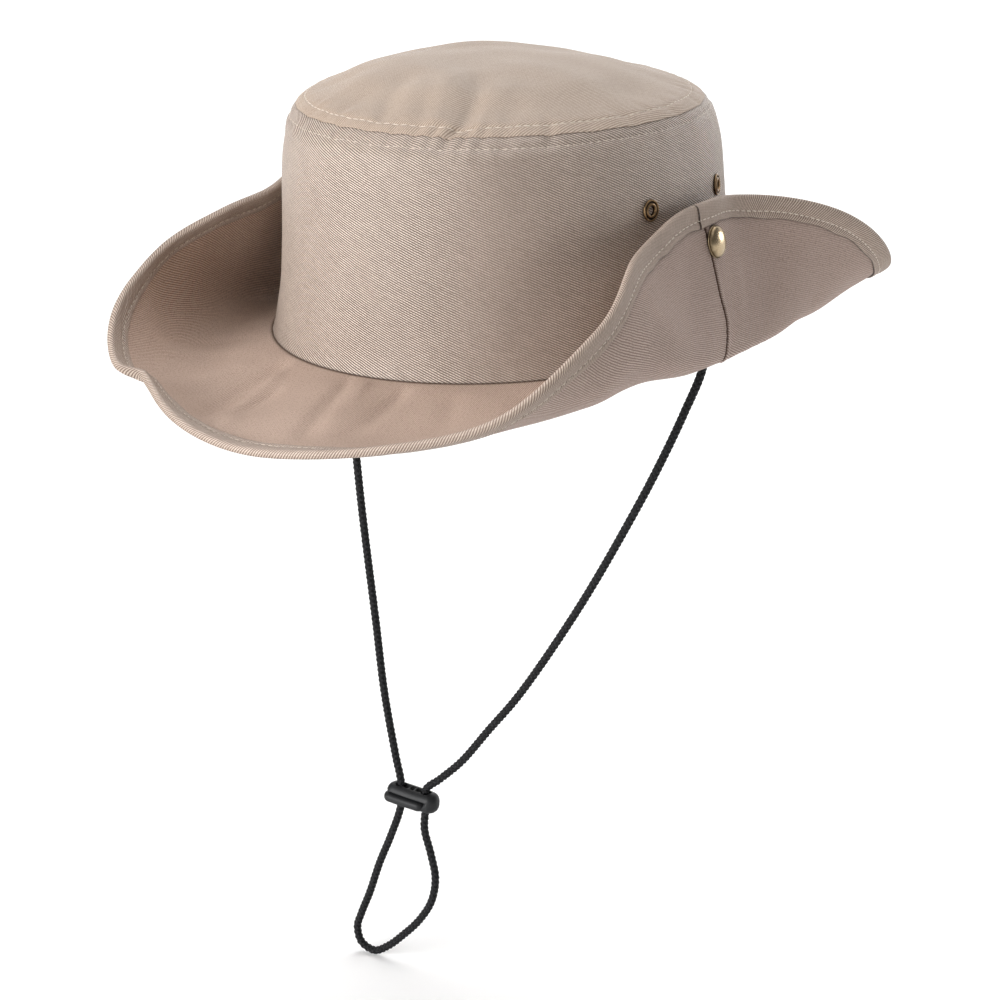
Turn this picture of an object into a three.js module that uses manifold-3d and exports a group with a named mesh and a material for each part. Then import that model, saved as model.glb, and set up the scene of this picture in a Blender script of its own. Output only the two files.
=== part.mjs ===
// Safari hat in cotton twill: a round crown with a flat domed tip, a wide brim turned up and snapped at both
// sides, brass eyelets, and a chin cord with a lock.
// Millimetres, +Z up. The hat's front is towards -Y and the wearer's left towards +X. The origin is the
// middle of the head opening, level with the seam between the crown and the brim.
import * as THREE from 'three';
import { mergeVertices } from 'three/addons/utils/BufferGeometryUtils.js';
import Module from 'manifold-3d';

const wasm = await Module();
wasm.setup();

// ---- Driving dimensions ----

const cloth = 1.6; // two plies of twill, as one wall
const gap = 0.3; // clearance between neighbouring pieces
const crownFoot = 0.55; // the crown's lower edge above the seam's level
const brimLevel = crownFoot - gap - cloth / 2; // the middle of the brim's cloth where it leaves the crown

const crownHeight = 86.2; // from the brim to the seam around the tip
const crownShift = { x: -1.5, y: -1 }; // the tip's centre against the head opening's
const crownTilt = { x: -0.0015, y: -0.03 }; // the tip's rise for each millimetre along X and Y
const crownSections = [
  { height: 0, halfLength: 104, halfWidth: 87.5 },
  { height: 5, halfLength: 102.5, halfWidth: 86 },
  { height: 11, halfLength: 102, halfWidth: 85 },
  { height: 37, halfLength: 100.3, halfWidth: 82.2 },
  { height: 66, halfLength: 98.6, halfWidth: 80.3 },
  { height: 79, halfLength: 96.8, halfWidth: 78 },
  { height: crownHeight, halfLength: 88.5, halfWidth: 75.3 },
];
const tipSections = [
  { share: 1, rise: 0 },
  { share: 0.93, rise: 3.4 },
  { share: 0.8, rise: 6.8 },
  { share: 0.6, rise: 12 },
  { share: 0.3, rise: 13.2 },
];
const tipRise = 13.5; // the dome's middle above its own edge
const tipLean = { x: -15, y: -2 }; // the dome's middle against the tip's centre

// The brim's section every 15 degrees, from the front round to the back. It leaves the crown at the slope and
// reaches the turn, both in degrees above level, in a bend that lies so far from the crown and spreads so far
// to each side of it, in millimetres along the cloth. Both halves of the hat are alike.
const brimWidth = 72.5;
const brimStep = 15;
const brimSections = [
  { slope: -9.2, turn: -1.6, bend: 49, spread: 30 },
  { slope: -12.8, turn: 21.3, bend: 50.4, spread: 30 },
  { slope: -9.4, turn: 40.2, bend: 49.3, spread: 34.4 },
  { slope: -8.2, turn: 107.3, bend: 45.7, spread: 36.5 },
  { slope: -5.9, turn: 121.2, bend: 28.8, spread: 26.5 },
  { slope: -24, turn: 109, bend: 15, spread: 12 },
  { slope: -33, turn: 101, bend: 11, spread: 4.5 },
  { slope: -30, turn: 99, bend: 13.6, spread: 4.5 },
  { slope: -23, turn: 72, bend: 21.8, spread: 9 },
  { slope: -18, turn: 33, bend: 33, spread: 14 },
  { slope: -14, turn: 11, bend: 41, spread: 16 },
  { slope: -12, turn: 1, bend: 43, spread: 17 },
  { slope: -12, turn: -1, bend: 44, spread: 18 },
];
// A crease that draws the edge in where the right flap meets the front: steep on the flap's side, soft on the
// front's, both as degrees round the ring, and starting so far out from the crown.
const crease = { at: -24.7, flapSide: 2.3, frontSide: 8.2, from: 28.7, pull: -7.2, rise: 1.7 };

const binding = { depth: 9.2, wall: 1, corner: 0.8 };
const clothEnd = brimWidth - binding.wall - gap; // where the brim's cloth stops inside the binding
// Distances from the crown at which the brim's cloth is drawn.
const brimStations = [-cloth, 0, 5, 10, 15, 20, 27, 34, 41, 48, 56, brimWidth - binding.depth, clothEnd];

const snap = { reach: 56.5, lean: 11, seat: 0.9 }; // where its axis meets the brim, and its faces' clearance
const cap = { radius: 6.4, dome: [[0.97, 0], [1, 0.5], [0.9, 1.3], [0.7, 2], [0.4, 2.5], [0, 2.7]] };
const socket = { radius: 4.8, depth: 2.6, recessRadius: 2.6, recessDepth: 1.7 };
const post = { radius: 1.8, headRadius: 2.1, neck: 1.1, crest: 0.7 };
const flange = { radius: 4.2, thickness: 0.9 };
const chamfer = 0.35; // on the small brass edges

const eyelet = {
  middle: 91,
  spread: 16,
  height: 55.2,
  seat: 0.45,
  bore: 2.1,
  barrel: 2.7,
  outer: 4.25,
  inner: 3.8,
  lip: 0.8,
};

const cordDiameter = 3;
const cordY = 6; // both runs hang in one plane, just behind the side seams
const cordRoute = [ // X and Z down the left run, through the lock, round the loop and up the right run
  [81, 10], [82.4, 3], [83.6, -4], [83.6, -12], [75.6, -32], [65.9, -53], [54.7, -75], [29.6, -120],
  [0.2, -165.5], [-14.8, -184.5], [-28.6, -202], [-39.6, -212.6], [-46.8, -219.2], [-47.3, -229.2],
  [-47.8, -238], [-44.8, -249], [-42.7, -260], [-44.9, -271.5], [-51.6, -282.5], [-60, -291.6],
  [-67.8, -298.8], [-75.4, -303], [-82.1, -300.4], [-84, -293.4], [-81.6, -286], [-77, -275],
  [-71.5, -259.5], [-65.3, -245], [-59.8, -229.5], [-59.4, -218.6], [-62, -206], [-67, -178],
  [-70.6, -146], [-76.3, -97], [-80, -56], [-82.5, -28], [-83.6, -4], [-82.6, 3], [-81.3, 10],
];
const cordSteps = 80;
const cordSides = 8;

const lock = { x: -53.3, z: -224, length: 25, depth: 9.4, height: 9, round: 1.4, hole: 2.4, spacing: 12.6 };
const slit = { height: 0.9, depth: 1.8, level: -0.4 };
const notch = { width: 2.2, length: 1.6, depth: 1.2, pitch: 2.7 };

const ringSteps = 72;
const turnedSteps = 16; // sides on the small turned brass pieces

// ---- Materials ----

const material = (color, roughness, metalness) =>
  new THREE.MeshStandardMaterial({ color, roughness, metalness });
const twill = material('#b9a796', 0.92, 0);
const brimTwill = material('#b09c8c', 0.92, 0);
const tape = material('#ab9a89', 0.9, 0);
const capBrass = material('#9a8555', 0.35, 0.9);
const darkBrass = material('#5d4a36', 0.45, 0.85);
const braid = material('#1d1e20', 0.8, 0);
const plastic = material('#333639', 0.6, 0);

// ---- Tools for closed shapes ----

const radians = THREE.MathUtils.degToRad;

// A closed skin over rings of points that each run counter-clockwise seen from above. The rings follow a
// section outward below and back inward above. A ring of one point is a pole. Every patch is split from its
// inner edge at one step to its outer edge at the next, so that faces over one another stay parallel.
function skin(rings) {
  const positions = [];
  const triangles = [];
  const starts = rings.map((ring) => {
    const start = positions.length / 3;
    ring.forEach((point) => positions.push(point.x, point.y, point.z));
    return start;
  });
  const addTriangle = (...corners) => {
    if (new Set(corners).size === 3) {
      triangles.push(...corners);
    }
  };
  rings.forEach((ring, index) => {
    const next = (index + 1) % rings.length;
    const outward = rings[next][0].y < ring[0].y;
    for (let step = 0; step < Math.max(ring.length, rings[next].length); step += 1) {
      const corner = (row, place) => starts[row] + (place % rings[row].length);
      const [a, b] = [corner(index, step), corner(index, step + 1)];
      const [c, d] = [corner(next, step + 1), corner(next, step)];
      addTriangle(a, b, outward ? c : d);
      addTriangle(outward ? a : b, c, d);
    }
  });
  const geometry = new THREE.BufferGeometry();
  geometry.setAttribute('position', new THREE.Float32BufferAttribute(positions, 3));
  geometry.setIndex(triangles);
  return geometry;
}

// Points at equal steps around the ring, from a function of the ring's angle in degrees.
const around = (pointAt) =>
  Array.from({ length: ringSteps }, (_, step) => pointAt((step * 360) / ringSteps));

function toSolid(geometry) {
  const bare = geometry.clone();
  bare.deleteAttribute('normal');
  bare.deleteAttribute('uv');
  const merged = mergeVertices(bare, 1e-4);
  return new wasm.Manifold(new wasm.Mesh({
    numProp: 3,
    vertProperties: new Float32Array(merged.attributes.position.array),
    triVerts: new Uint32Array(merged.index.array),
  }));
}

function toGeometry(solid) {
  const { vertProperties, triVerts } = solid.getMesh();
  const geometry = new THREE.BufferGeometry();
  geometry.setAttribute('position', new THREE.BufferAttribute(vertProperties, 3));
  geometry.setIndex(new THREE.BufferAttribute(triVerts, 1));
  geometry.computeVertexNormals();
  return geometry;
}

const cutAll = (geometry, tools) =>
  toGeometry(tools.reduce((solid, tool) => solid.subtract(toSolid(tool)), toSolid(geometry)));

// A turned piece about +Y, from a profile of radius and height.
const turned = (profile) =>
  new THREE.LatheGeometry(profile.map(([radius, height]) => new THREE.Vector2(radius, height)), turnedSteps);

// A placement that sends +Y along a direction at a point.
const placedAlong = (point, direction) => {
  const turn = new THREE.Quaternion().setFromUnitVectors(new THREE.Vector3(0, 1, 0), direction);
  return new THREE.Matrix4().compose(point, turn, new THREE.Vector3(1, 1, 1));
};

// ---- Crown ----

// The crown's outer half-axes at a height, straight between the sections.
function crownAxes(height) {
  const index = Math.max(1, crownSections.findIndex((section) => section.height >= height));
  const [low, high] = [crownSections[index - 1], crownSections[index]];
  const share = (height - low.height) / (high.height - low.height);
  return {
    halfLength: THREE.MathUtils.lerp(low.halfLength, high.halfLength, share),
    halfWidth: THREE.MathUtils.lerp(low.halfWidth, high.halfWidth, share),
  };
}

// A point of the crown's wall, the inset being how far inside the outer face it lies. The wall leans and its
// top tilts in step with the height.
function crownPoint(angle, height, inset = 0) {
  const { halfLength, halfWidth } = crownAxes(height);
  const share = height / crownHeight;
  const x = (halfWidth - inset) * Math.sin(radians(angle)) + crownShift.x * share;
  const y = -(halfLength - inset) * Math.cos(radians(angle)) + crownShift.y * share;
  const lift = share * (crownTilt.x * x + crownTilt.y * y);
  return new THREE.Vector3(x, y, Math.max(height, crownFoot) + lift);
}

// The crown's outward direction at a point of its wall.
function crownNormal(angle, height) {
  const along = crownPoint(angle + 0.5, height).sub(crownPoint(angle - 0.5, height));
  const up = crownPoint(angle, height + 0.5).sub(crownPoint(angle, height - 0.5));
  return along.cross(up).normalize();
}

function sideBand() {
  const outer = crownSections.map(({ height }) => around((angle) => crownPoint(angle, height)));
  const inner = crownSections.map(({ height }) => around((angle) => crownPoint(angle, height, cloth)));
  return skin([...outer, ...inner.reverse()]);
}

// The tip is a dome whose cloth ends above the band's top edge.
function tip() {
  const level = (share, inset, rise) => around((angle) => {
    const edge = crownPoint(angle, crownHeight, inset);
    const x = crownShift.x + tipLean.x * (1 - share) + (edge.x - crownShift.x) * share;
    const y = crownShift.y + tipLean.y * (1 - share) + (edge.y - crownShift.y) * share;
    return new THREE.Vector3(x, y, crownHeight + gap + crownTilt.x * x + crownTilt.y * y + rise);
  });
  const pole = (rise) => level(0, 0, rise).slice(0, 1);
  const outer = tipSections.map(({ share, rise }) => level(share, 0, rise));
  const inner = tipSections.map(({ share, rise }) =>
    (share === 1 ? level(1, cloth, 0) : level(share, 0, rise - cloth)));
  return skin([pole(tipRise - cloth), ...inner.reverse(), ...outer, pole(tipRise)]);
}

// ---- Brim ----

// A smooth value of a column all the way round the brim, by Catmull-Rom between its rows. The rows repeat
// mirrored past the front and the back.
function brimValue(column, angle) {
  const last = brimSections.length - 1;
  const place = Math.abs(THREE.MathUtils.euclideanModulo(angle + 180, 360) - 180) / brimStep;
  const first = Math.min(Math.floor(place), last - 1);
  const row = (index) => brimSections[last - Math.abs(last - Math.abs(index))][column];
  const [before, from, to, after] = [first - 1, first, first + 1, first + 2].map(row);
  const u = place - first;
  const cubic = 3 * (from - to) + after - before;
  const square = 2 * before - 5 * from + 4 * to - after;
  return from + 0.5 * u * (to - before + u * (square + u * cubic));
}

// The middle of the brim's cloth at a ring angle and a distance along the cloth from the crown: short steps
// outward, each along the tilt that the section has there.
function brimMiddle(angle, distance) {
  const columns = ['slope', 'turn', 'bend', 'spread'];
  const [slope, turn, bend, spread] = columns.map((column) => brimValue(column, angle));
  const steps = 60;
  const stride = distance / steps;
  let reach = 0;
  let rise = brimLevel;
  for (let step = 0; step < steps; step += 1) {
    const along = (step + 0.5) * stride;
    const share = THREE.MathUtils.smoothstep(along, bend - spread, bend + spread);
    const tilt = along < 0 ? 0 : radians(slope + (turn - slope) * share);
    reach += stride * Math.cos(tilt);
    rise += stride * Math.sin(tilt);
  }
  const side = angle > crease.at ? crease.frontSide : crease.flapSide;
  const out = Math.max(0, (distance - crease.from) / (brimWidth - crease.from));
  const creased = Math.exp(-(((angle - crease.at) / side) ** 2)) * out ** 2;
  const { halfLength, halfWidth } = crownSections[0];
  const [sine, cosine] = [Math.sin(radians(angle)), Math.cos(radians(angle))];
  const outward = new THREE.Vector3(halfLength * sine, -halfWidth * cosine, 0).normalize();
  return new THREE.Vector3(halfWidth * sine, -halfLength * cosine, rise + crease.rise * creased)
    .addScaledVector(outward, reach + crease.pull * creased);
}

// The direction out of the brim's underside.
function brimNormal(angle, distance) {
  const along = brimMiddle(angle + 0.5, distance).sub(brimMiddle(angle - 0.5, distance));
  const out = brimMiddle(angle, distance + 0.5).sub(brimMiddle(angle, distance - 0.5));
  return along.cross(out).normalize();
}

// A point of the brim at an offset from the middle of its cloth, towards the underside where it is positive.
const brimPoint = (angle, distance, offset) => {
  const centred = THREE.MathUtils.euclideanModulo(angle + 180, 360) - 180;
  return brimMiddle(centred, distance).addScaledVector(brimNormal(centred, distance), offset);
};

const brimRing = ([distance, offset]) => around((angle) => brimPoint(angle, distance, offset));

function brim() {
  const under = brimStations.map((distance) => [distance, cloth / 2]);
  const top = brimStations.map((distance) => [distance, -cloth / 2]).reverse();
  return skin([...under, ...top].map(brimRing));
}

// The bias tape is a U around the brim's edge.
function brimBinding() {
  const inside = cloth / 2 + gap;
  const outside = inside + binding.wall;
  const start = brimWidth - binding.depth;
  const section = [
    [start, outside],
    [brimWidth - binding.corner, outside],
    [brimWidth, outside - binding.corner],
    [brimWidth, binding.corner - outside],
    [brimWidth - binding.corner, -outside],
    [start, -outside],
    [start, -inside],
    [brimWidth - binding.wall, -inside],
    [brimWidth - binding.wall, inside],
    [start, inside],
  ];
  return skin(section.map(brimRing));
}

// ---- Snaps ----

// Each snap's axis leans up and outward, between the slopes of the flap and of the crown.
function snapAxis(side) {
  const point = brimMiddle(side * 90, snap.reach);
  const lean = radians(snap.lean);
  const direction = new THREE.Vector3(side * Math.cos(lean), 0, Math.sin(lean));
  return { point, direction };
}

// Where that axis comes out of the crown's wall, and how far that is from the brim's cloth.
function studSeat(side) {
  const { point, direction } = snapAxis(side);
  let depth = 0;
  const seat = point.clone();
  while (side * seat.x > side * crownPoint(side * 90, seat.z, cloth / 2).x) {
    depth += 0.05;
    seat.copy(point).addScaledVector(direction, -depth);
  }
  return { seat, depth };
}

// The cap with its shank through the brim and the socket behind it. The dome's table holds shares of the
// cap's radius and heights above its face.
function snapCap() {
  const face = cloth / 2 + snap.seat;
  const mouth = -face - socket.depth;
  return turned([
    [0, mouth + socket.recessDepth],
    [socket.recessRadius, mouth + socket.recessDepth],
    [socket.recessRadius, mouth],
    [socket.radius - chamfer, mouth],
    [socket.radius, mouth + chamfer],
    [socket.radius, -face],
    [post.radius, -face],
    [post.radius, face],
    ...cap.dome.map(([share, height]) => [cap.radius * share, face + height]),
  ]);
}

// The stud is riveted through the crown's wall, and its head stands in the socket.
function snapStud(depth) {
  const face = cloth / 2 + snap.seat;
  const back = face + flange.thickness;
  const head = depth - face - socket.depth + socket.recessDepth - gap;
  return turned([
    [0, -back],
    [flange.radius - chamfer, -back],
    [flange.radius, chamfer - back],
    [flange.radius, -face],
    [post.radius, -face],
    [post.radius, face],
    [flange.radius, face],
    [flange.radius, back - chamfer],
    [flange.radius - chamfer, back],
    [post.radius, back],
    [post.radius, head - post.neck],
    [post.headRadius, head - post.crest],
    [post.radius, head],
    [0, head],
  ]);
}

const boreTool = (radius, length, matrix) =>
  new THREE.CylinderGeometry(radius, radius, length, turnedSteps).applyMatrix4(matrix);

// ---- Eyelets ----

function eyeletRing() {
  const face = cloth / 2 + eyelet.seat;
  const { bore, barrel, outer, inner, lip } = eyelet;
  return turned([
    [bore, -face - lip],
    [inner, -face - lip],
    [inner, -face],
    [barrel, -face],
    [barrel, face],
    [outer, face],
    [outer, face + lip / 2],
    [outer - lip, face + lip],
    [bore + chamfer, face + lip],
    [bore, face + lip / 2],
    [bore, -face - lip],
  ]);
}

const eyeletPlaces = [
  { name: 'eyelet_left_front', angle: eyelet.middle - eyelet.spread },
  { name: 'eyelet_left_back', angle: eyelet.middle + eyelet.spread },
  { name: 'eyelet_right_front', angle: eyelet.spread - eyelet.middle },
  { name: 'eyelet_right_back', angle: -eyelet.spread - eyelet.middle },
].map(({ name, angle }) => {
  const point = crownPoint(angle, eyelet.height, cloth / 2);
  return { name, matrix: placedAlong(point, crownNormal(angle, eyelet.height)) };
});

// ---- Chin cord and its lock ----

function chinCord() {
  const points = cordRoute.map(([x, z]) => new THREE.Vector3(x, cordY, z));
  const extrudePath = new THREE.CatmullRomCurve3(points, false, 'centripetal');
  const section = new THREE.Shape(Array.from({ length: cordSides }, (_, side) => {
    const turn = (side / cordSides) * 2 * Math.PI;
    return new THREE.Vector2(Math.cos(turn), Math.sin(turn)).multiplyScalar(cordDiameter / 2);
  }));
  return new THREE.ExtrudeGeometry(section, { steps: cordSteps, bevelEnabled: false, extrudePath });
}

// A flat oval block with two holes for the cord, a slit along its front and three notches on top.
function cordLock() {
  const { length, depth, height, round, hole, spacing } = lock;
  const end = depth / 2 - round;
  const straight = length / 2 - depth / 2;
  const outline = new THREE.Shape();
  outline.absarc(straight, 0, end, -Math.PI / 2, Math.PI / 2);
  outline.absarc(-straight, 0, end, Math.PI / 2, (3 * Math.PI) / 2);
  const block = new THREE.ExtrudeGeometry(outline, {
    depth: height - 2 * round,
    bevelThickness: round,
    bevelSize: round,
    bevelSegments: 2,
    curveSegments: 8,
  });
  block.translate(0, 0, round - height / 2);
  const upright = new THREE.Matrix4().makeRotationX(Math.PI / 2);
  const holes = [-1, 1].map((side) =>
    boreTool(hole, 2 * height, upright).translate((side * spacing) / 2, 0, 0));
  const slot = new THREE.BoxGeometry(2 * length, slit.depth, slit.height);
  slot.translate(0, -depth / 2 + slit.depth / 2 - gap, slit.level);
  const notches = [-1, 0, 1].map((place) => {
    const box = new THREE.BoxGeometry(notch.length, notch.width, 2 * notch.depth);
    return box.translate(place * notch.pitch, 0, height / 2);
  });
  return cutAll(block, [...holes, slot, ...notches]);
}

// ---- Assembly ----

const group = new THREE.Group();

function addPiece(name, geometry, finish, matrix = new THREE.Matrix4()) {
  const mesh = new THREE.Mesh(geometry, finish);
  mesh.name = name;
  mesh.applyMatrix4(matrix);
  group.add(mesh);
}

const sides = [
  { name: 'left', side: 1 },
  { name: 'right', side: -1 },
].map(({ name, side }) => {
  const { point, direction } = snapAxis(side);
  const { seat, depth } = studSeat(side);
  return { name, depth, button: placedAlong(point, direction), stud: placedAlong(seat, direction) };
});

const holeDepth = 5 * cloth; // the holes' cutters, through one wall only
const wallTools = [
  ...eyeletPlaces.map(({ matrix }) => boreTool(eyelet.barrel + gap, holeDepth, matrix)),
  ...sides.map(({ stud }) => boreTool(post.radius + 2 * gap, holeDepth, stud)),
];
const brimTools = sides.map(({ button }) => boreTool(post.radius + 2 * gap, holeDepth, button));

addPiece('tip', tip(), twill);
addPiece('side_band', cutAll(sideBand(), wallTools), twill);
addPiece('brim', cutAll(brim(), brimTools), brimTwill);
addPiece('brim_binding', brimBinding(), tape);
sides.forEach(({ name, depth, button, stud }) => {
  addPiece(`snap_cap_${name}`, snapCap(), capBrass, button);
  addPiece(`snap_stud_${name}`, snapStud(depth), darkBrass, stud);
});
eyeletPlaces.forEach(({ name, matrix }) => addPiece(name, eyeletRing(), darkBrass, matrix));
addPiece('chin_cord', chinCord(), braid);
const lockPlace = new THREE.Matrix4().makeTranslation(lock.x, cordY, lock.z);
addPiece('cord_lock', cordLock(), plastic, lockPlace);

export default group;
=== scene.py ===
# A safari hat in stone-coloured cotton twill: a round crown with a domed tip, a wide brim snapped up at both
# sides, brass snaps and eyelets, and a braided chin cord with its lock.
# Shapes are worked out in millimetres and go into meshes in metres. Ring angles are in degrees: 0 is the
# front (-Y), 90 the wearer's left (+X), -90 the wearer's right and 180 the back.
import math
import bpy
import numpy as np
from mathutils import Matrix, Vector


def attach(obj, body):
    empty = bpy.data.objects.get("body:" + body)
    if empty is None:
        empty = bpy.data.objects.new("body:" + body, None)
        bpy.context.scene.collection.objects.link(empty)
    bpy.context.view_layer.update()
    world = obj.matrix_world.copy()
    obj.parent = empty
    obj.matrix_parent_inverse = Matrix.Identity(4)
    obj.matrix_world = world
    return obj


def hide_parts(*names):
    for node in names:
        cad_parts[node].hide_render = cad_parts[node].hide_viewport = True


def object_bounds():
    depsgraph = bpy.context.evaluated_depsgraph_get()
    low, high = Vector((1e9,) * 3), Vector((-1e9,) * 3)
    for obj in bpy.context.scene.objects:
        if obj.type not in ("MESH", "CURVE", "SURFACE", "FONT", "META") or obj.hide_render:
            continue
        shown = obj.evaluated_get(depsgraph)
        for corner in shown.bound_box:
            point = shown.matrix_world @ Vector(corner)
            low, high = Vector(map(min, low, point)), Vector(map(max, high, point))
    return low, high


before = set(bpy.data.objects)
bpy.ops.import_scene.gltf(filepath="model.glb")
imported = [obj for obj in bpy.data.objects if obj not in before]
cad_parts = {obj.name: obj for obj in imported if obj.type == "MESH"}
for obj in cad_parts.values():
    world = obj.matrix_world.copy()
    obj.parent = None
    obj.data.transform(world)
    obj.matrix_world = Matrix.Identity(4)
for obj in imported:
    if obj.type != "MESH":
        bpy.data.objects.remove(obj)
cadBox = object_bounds()
scene = bpy.context.scene
metres = 0.001
fullTurn = 2 * math.pi
print("frame loaded:", len(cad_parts), "nodes")

# The camera stands at an azimuth and a distance from the hat's axis and looks slightly down at it.
cameraView = {"lens": 108, "sensor": 36, "azimuth": 31, "distance": 1.15, "height": 0.311,
              "turn": 31.2, "down": 18.7, "roll": -0.5}


# Its forward axis is level at the turn, then tipped down; its right and up axes are then rolled about it.
def addCamera(view):
    camera = bpy.data.objects.new("camera", bpy.data.cameras.new("camera"))
    camera.data.lens = view["lens"]
    camera.data.sensor_width = view["sensor"]
    azimuth, turn, down, roll = (math.radians(view[key]) for key in ("azimuth", "turn", "down", "roll"))
    forward = Vector((-math.sin(turn) * math.cos(down), math.cos(turn) * math.cos(down), -math.sin(down)))
    level = Vector((math.cos(turn), math.sin(turn), 0))
    upright = level.cross(forward)
    right = math.cos(roll) * level + math.sin(roll) * upright
    up = math.cos(roll) * upright - math.sin(roll) * level
    stand = Matrix((right, up, -forward)).transposed().to_4x4()
    stand.translation = (view["distance"] * math.sin(azimuth), -view["distance"] * math.cos(azimuth),
                         view["height"])
    camera.matrix_world = stand
    scene.collection.objects.link(camera)
    scene.camera = camera


addCamera(cameraView)
print("camera placed")


# Soft step from 0 at low to 1 at high: 3t^2 - 2t^3 of the share t of the way.
def ease(value, low, high):
    share = np.clip((value - low) / (high - low), 0, 1)
    return share * share * (3 - 2 * share)


# Bell curve of a distance from its middle: e to the minus square of distance over width.
def hump(distance, width):
    return np.exp(-(distance / width) ** 2)


# A smooth curve through a column of a table whose first column holds the knots. Between two knots it is the
# cubic whose end slopes are the harmonic means of the straight slopes beside them, or nil where those change
# sign, so it never overshoots.
def smoothThrough(value, table, column=1):
    knots, heights = table[:, 0], table[:, column]
    step = np.diff(knots)
    slope = np.diff(heights) / step
    product = slope[1:] * slope[:-1]
    total = np.where(product > 0, slope[1:] + slope[:-1], 1)
    tangent = np.concatenate([slope[:1], np.where(product > 0, 2 * product / total, 0), slope[-1:]])
    cell = np.clip(np.searchsorted(knots, value, side="right") - 1, 0, len(step) - 1)
    share = (value - knots[cell]) / step[cell]
    rest = 1 - share
    return (heights[cell] * rest * rest * (1 + 2 * share) + heights[cell + 1] * share * share * (1 + 2 * rest)
            + step[cell] * share * rest * (tangent[cell] * rest - tangent[cell + 1] * share))


# Uneven waves around the ring: cosines of whole numbers of turns, each with its own phase and height.
def ripple(angle, seed, fewest, most):
    draw = np.random.default_rng(seed)
    turns = np.arange(fewest, most + 1)
    phases = draw.uniform(0, fullTurn, len(turns))
    heights = draw.normal(size=len(turns)) / math.sqrt(len(turns))
    return sum(height * np.cos(turn * np.radians(angle) + phase)
               for turn, phase, height in zip(turns, phases, heights))


# Soft unevenness over a flat patch: plane waves of about one size in all directions.
def drift(across, along, size, seed, count=14):
    draw = np.random.default_rng(seed)
    headings = draw.uniform(0, fullTurn, count)
    lengths = size * draw.uniform(0.7, 1.6, count)
    phases = draw.uniform(0, fullTurn, count)
    return sum(np.cos(fullTurn * (across * math.cos(heading) + along * math.sin(heading)) / length + phase)
               for heading, length, phase in zip(headings, lengths, phases)) / math.sqrt(count)


# Stacks x, y and z arrays into points.
def pointsOf(x, y, z):
    return np.stack(np.broadcast_arrays(x, y, z), -1)


# Vectors of length 1.
def unit(vectors):
    return vectors / np.linalg.norm(vectors, axis=-1, keepdims=True)


# Distance along a line to each of its points.
def runAlong(line):
    return np.concatenate([[0], np.cumsum(np.linalg.norm(np.diff(line, axis=0), axis=1))])


# The four corners of each patch between neighbouring rows and columns of an index table.
def patches(index):
    return np.stack([index[:-1, :-1], index[:-1, 1:], index[1:, 1:], index[1:, :-1]], -1).reshape(-1, 4)


# Puts polygons into a mesh object. Corners come in fours, and a four with a repeated corner is a triangle.
def meshOf(name, points, corners, finish, uv=None, places=None, marks=None):
    keep = np.ones(corners.shape, bool)
    keep[corners[:, 0] == corners[:, 1], 1] = False
    keep[corners[:, 2] == corners[:, 3], 3] = False
    used, flat = np.unique(corners[keep], return_inverse=True)
    counts = keep.sum(1)
    mesh = bpy.data.meshes.new(name)
    mesh.vertices.add(len(used))
    mesh.vertices.foreach_set("co", (points[used] * metres).astype(np.float32).ravel())
    mesh.loops.add(len(flat))
    mesh.loops.foreach_set("vertex_index", flat.astype(np.int32))
    mesh.polygons.add(len(counts))
    mesh.polygons.foreach_set("loop_start", (np.cumsum(counts) - counts).astype(np.int32))
    if uv is not None:
        layer = mesh.uv_layers.new(name="cloth")
        layer.data.foreach_set("uv", (uv[places[keep]] * metres).astype(np.float32).ravel())
    for mark, values in (marks or {}).items():
        attribute = mesh.attributes.new(mark, "FLOAT", "POINT")
        attribute.data.foreach_set("value", values[used].astype(np.float32))
    mesh.update(calc_edges=True)
    mesh.polygons.foreach_set("use_smooth", np.ones(len(counts), bool))
    mesh.materials.append(finish)
    piece = bpy.data.objects.new(name, mesh)
    scene.collection.objects.link(piece)
    return piece


# A closed skin over rows of points. Each row runs around and ends where it began. The last row joins the
# first, or both are poles of one point. Patches are turned so that the enclosed volume is positive.
def skin(name, points, finish, uv=None, poles=False, marks=None):
    rows, columns = points.shape[:2]
    vertex = np.arange(rows * columns).reshape(rows, columns)
    vertex[:, -1] = vertex[:, 0]
    place = np.arange(rows * columns).reshape(rows, columns)
    if poles:
        vertex[0], vertex[-1] = vertex[0, 0], vertex[-1, 0]
    else:
        vertex, place = (np.vstack([table, table[:1]]) for table in (vertex, place))
    corners, places = patches(vertex), patches(place)
    flat = points.reshape(-1, 3)
    a, b, c, d = (flat[corners[:, k]] for k in range(4))
    if np.sum(a * np.cross(b, c)) + np.sum(a * np.cross(c, d)) < 0:
        corners, places = corners[:, ::-1], places[:, ::-1]
    if marks:
        marks = {mark: np.broadcast_to(values, points.shape[:2]).ravel() for mark, values in marks.items()}
    return meshOf(name, flat, corners, finish, None if uv is None else uv.reshape(-1, 2), places, marks)


# Every piece rides on the hat's one body and may stand for CAD nodes.
def settle(piece, slot, *nodes):
    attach(piece, "root")
    if nodes:
        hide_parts(*nodes)
    return piece


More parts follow.
